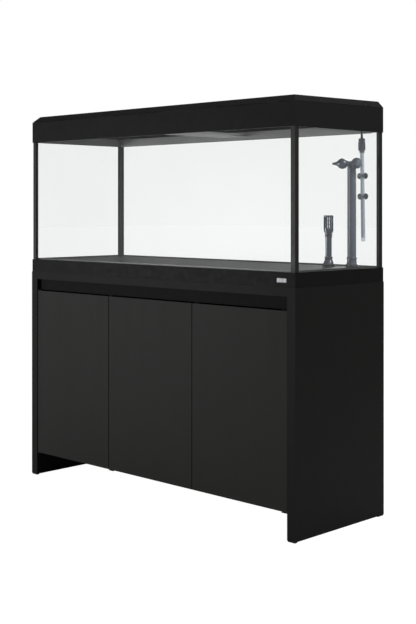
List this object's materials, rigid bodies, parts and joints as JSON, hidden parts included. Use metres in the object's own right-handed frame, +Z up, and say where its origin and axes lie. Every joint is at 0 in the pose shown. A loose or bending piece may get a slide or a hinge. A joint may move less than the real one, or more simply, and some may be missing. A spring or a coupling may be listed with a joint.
{
  "type": "aquarium on stand",
  "caption": "Rectangular glass aquarium with a flap hood on a matching black cabinet with inset doors, fitted with heater and filter pipes.",
  "frame": {"origin": "on the floor, under the middle of the cabinet", "axes": "+Z up, -Y out of the doors, +X to the right when facing the doors"},
  "size_m": [1.21, 0.507, 1.2592],
  "materials": {
    "board_black": "black laminate on chipboard, fine matt texture",
    "door_black": "matt black lacquered board",
    "edge_black": "raw black board, inside the cabinet",
    "post_grey": "dark grey extruded angle",
    "trim_black": "black moulded plastic, satin",
    "hood_black": "black moulded plastic, fine grain",
    "glide_black": "black rubber",
    "foot_black": "black nylon",
    "hinge_steel": "black-zinc steel",
    "plate_steel": "zinc-plated steel",
    "catch_grey": "dark moulded plastic",
    "badge_metal": "satin aluminium, blank",
    "tank_glass": "clear float glass",
    "floor_glass": "glass enamelled dark grey below",
    "silicone_black": "black silicone sealant",
    "rim_grey": "grey extruded profile",
    "equipment_grey": "blue-grey moulded plastic",
    "heater_glass": "quartz glass tube",
    "heater_ceramic": "grey ceramic former",
    "cup_rubber": "soft dark rubber and clips",
    "cord_black": "black cord sheath",
    "plug_black": "black moulded plug with nickel pins",
    "lamp_silver": "anodised aluminium with clear fronts",
    "filter_dark": "dark grey moulded plastic",
    "filter_head": "grey moulded plastic",
    "basket_grey": "grey moulded plastic",
    "clip_grey": "grey nylon",
    "impeller_white": "off-white moulded rotor",
    "lever_red": "red moulded plastic",
    "hose_green": "dark flexible hose"
  },
  "bodies": {
    "root": {"side_panel_left": "board_black", "side_panel_right": "board_black", "top_board": "board_black", "bottom_board": "edge_black", "partitions": "edge_black", "grip_rail": "edge_black", "back_panel": "edge_black", "shelves": "edge_black", "shelf_pins": "plate_steel", "panel_glides": "glide_black", "centre_feet": "foot_black", "pivot_plates": "hinge_steel", "door_catches": "catch_grey", "base_frame": "trim_black", "badge_plate": "badge_metal", "bottom_pane": "floor_glass", "front_pane": "tank_glass", "back_pane": "tank_glass", "left_pane": "tank_glass", "right_pane": "tank_glass", "corner_seams": "silicone_black", "corner_trims": "post_grey", "floor_seams": "silicone_black", "rim_trim": "rim_grey", "centre_brace": "tank_glass", "bulkheads": "filter_dark", "inlet_pipe": "equipment_grey", "inlet_strainer": "equipment_grey", "outlet_riser": "equipment_grey", "outlet_head": "equipment_grey", "heater_tube": "heater_glass", "heater_core": "heater_ceramic", "heater_cap": "equipment_grey", "heater_holders": "cup_rubber", "heater_cord": "cord_black", "heater_cord_coil": "cord_black", "heater_plug": "plug_black", "canister": "filter_dark", "pump_head": "filter_head", "media_baskets": "basket_grey", "hose_adaptor": "filter_dark", "hoses": "hose_green"},
    "door_left": {"door_left": "door_black", "door_left_fittings": "hinge_steel"},
    "door_middle": {"door_middle": "door_black", "door_middle_fittings": "hinge_steel"},
    "door_right": {"door_right": "door_black", "door_right_fittings": "hinge_steel"},
    "lid": {"lid_frame": "hood_black", "light_bars": "lamp_silver"},
    "flap_left": {"flap_left": "hood_black"},
    "flap_middle": {"flap_middle": "hood_black"},
    "flap_right": {"flap_right": "hood_black"},
    "nozzle_left": {"nozzle_left": "equipment_grey"},
    "nozzle_right": {"nozzle_right": "equipment_grey"},
    "heater_dial": {"heater_dial": "equipment_grey"},
    "clip_front": {"clip_front": "clip_grey"},
    "clip_back": {"clip_back": "clip_grey"},
    "impeller": {"impeller": "impeller_white"},
    "adaptor_lever": {"adaptor_lever": "lever_red"}
  },
  "joints": [
    {"name": "door_left_swing", "type": "hinge", "parent": "root", "child": "door_left", "pos_m": [-0.5695, -0.2025, 0.36], "axis": [0, 0, -1], "range_deg": [0, 95]},
    {"name": "door_middle_swing", "type": "hinge", "parent": "root", "child": "door_middle", "pos_m": [-0.18873, -0.2025, 0.36], "axis": [0, 0, -1], "range_deg": [0, 95]},
    {"name": "door_right_swing", "type": "hinge", "parent": "root", "child": "door_right", "pos_m": [0.5695, -0.2025, 0.36], "axis": [0, 0, 1], "range_deg": [0, 95]},
    {"name": "lid_lift", "type": "slide", "parent": "root", "child": "lid", "axis": [0, 0, 1], "range_m": [0, 0.15]},
    {"name": "flap_left_hinge", "type": "hinge", "parent": "lid", "child": "flap_left", "pos_m": [0, 0.146, 1.2524], "axis": [-1, 0, 0], "range_deg": [0, 100]},
    {"name": "flap_middle_hinge", "type": "hinge", "parent": "lid", "child": "flap_middle", "pos_m": [0, 0.146, 1.2524], "axis": [-1, 0, 0], "range_deg": [0, 100]},
    {"name": "flap_right_hinge", "type": "hinge", "parent": "lid", "child": "flap_right", "pos_m": [0, 0.146, 1.2524], "axis": [-1, 0, 0], "range_deg": [0, 100]},
    {"name": "nozzle_left_swivel", "type": "hinge", "parent": "root", "child": "nozzle_left", "pos_m": [0.503, 0.136, 1.07], "axis": [0, 0, 1], "range_deg": [-30, 30]},
    {"name": "nozzle_right_swivel", "type": "hinge", "parent": "root", "child": "nozzle_right", "pos_m": [0.557, 0.136, 1.07], "axis": [0, 0, 1], "range_deg": [-30, 30]},
    {"name": "heater_dial_turn", "type": "hinge", "parent": "root", "child": "heater_dial", "pos_m": [0.5415, 0.182, 1.148], "axis": [-0.0175, 0, 0.9998], "range_deg": [0, 300]},
    {"name": "clip_front_release", "type": "hinge", "parent": "root", "child": "clip_front", "pos_m": [0.43, -0.059, 0.33], "axis": [1, 0, 0], "range_deg": [0, 90]},
    {"name": "clip_back_release", "type": "hinge", "parent": "root", "child": "clip_back", "pos_m": [0.43, 0.139, 0.33], "axis": [-1, 0, 0], "range_deg": [0, 90]},
    {"name": "impeller_spin", "type": "hinge", "parent": "root", "child": "impeller", "pos_m": [0.43, 0.04, 0.37], "axis": [0, 0, 1], "continuous": true},
    {"name": "adaptor_lever_turn", "type": "hinge", "parent": "root", "child": "adaptor_lever", "pos_m": [0.43, 0.012, 0.435], "axis": [0, -1, 0], "range_deg": [0, 90]}
  ]
}
